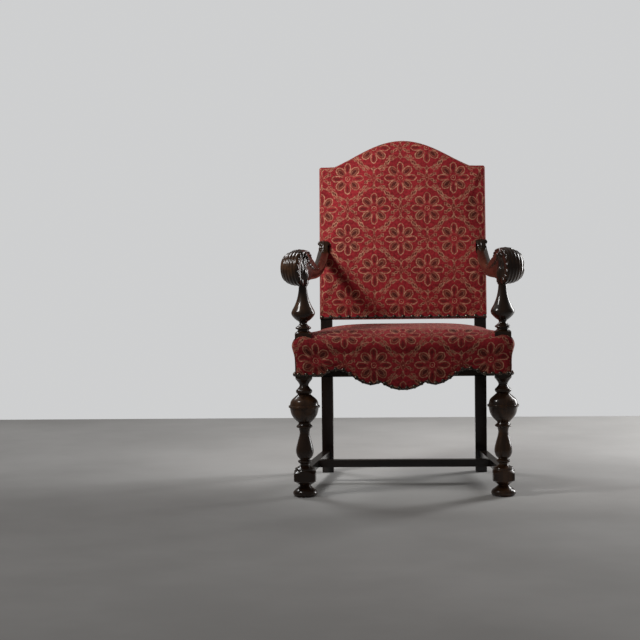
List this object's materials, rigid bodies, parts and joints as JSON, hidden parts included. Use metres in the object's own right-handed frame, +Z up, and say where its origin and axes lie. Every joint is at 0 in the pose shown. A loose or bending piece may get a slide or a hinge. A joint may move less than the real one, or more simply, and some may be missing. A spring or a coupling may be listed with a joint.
{
  "type": "armchair",
  "caption": "High-back upholstered armchair with turned front legs that rise as arm posts, carved scroll arms, raked square rear legs, a low H-shaped stretcher and a sprung, nailed seat.",
  "frame": {"origin": "on the floor, under the middle of the chair's outer box", "axes": "+Z up, -Y to the chair's front, +X to the right seen from the front"},
  "size_m": [0.7002, 0.6528, 1.056],
  "materials": {
    "walnut": "dark stained walnut, french polished, glossy",
    "beech": "plain sawn hardwood, unfinished",
    "moquette": "cut velvet in crimson with a woven gold-beige floral pattern",
    "stuffing": "horsehair and cotton wadding under calico",
    "jute": "plain woven jute",
    "dust_cloth": "thin black cotton",
    "braid": "dark woven gimp braid",
    "bronze": "antiqued bronze nail heads, darkened in the hollows",
    "steel": "drawn steel wire and plain steel screws"
  },
  "bodies": {
    "root": {"front_leg_left": "walnut", "front_leg_right": "walnut", "rear_leg_left": "walnut", "rear_leg_right": "walnut", "side_stretcher_left": "walnut", "side_stretcher_right": "walnut", "cross_stretcher": "walnut", "arm_left": "walnut", "arm_right": "walnut", "front_rail": "beech", "rear_rail": "beech", "side_rail_left": "beech", "side_rail_right": "beech", "front_apron": "beech", "corner_blocks": "beech", "back_top_rail": "beech", "back_bottom_rail": "beech", "seat_cover": "moquette", "back_cover": "moquette", "outside_back_cover": "moquette", "seat_pad": "stuffing", "back_pad": "stuffing", "seat_webbing_long": "jute", "seat_webbing_cross": "jute", "seat_canvas": "jute", "back_webbing_long": "jute", "back_webbing_cross": "jute", "back_canvas": "jute", "seat_dust_cover": "dust_cloth", "seat_gimp": "braid", "back_gimp": "braid", "seat_nails_front": "bronze", "seat_nails_left": "bronze", "seat_nails_right": "bronze", "seat_nails_rear": "bronze", "back_nails": "bronze", "outside_back_nails_sides": "bronze", "outside_back_nails_ends": "bronze", "seat_springs": "steel", "arm_screws": "steel"}
  },
  "joints": []
}
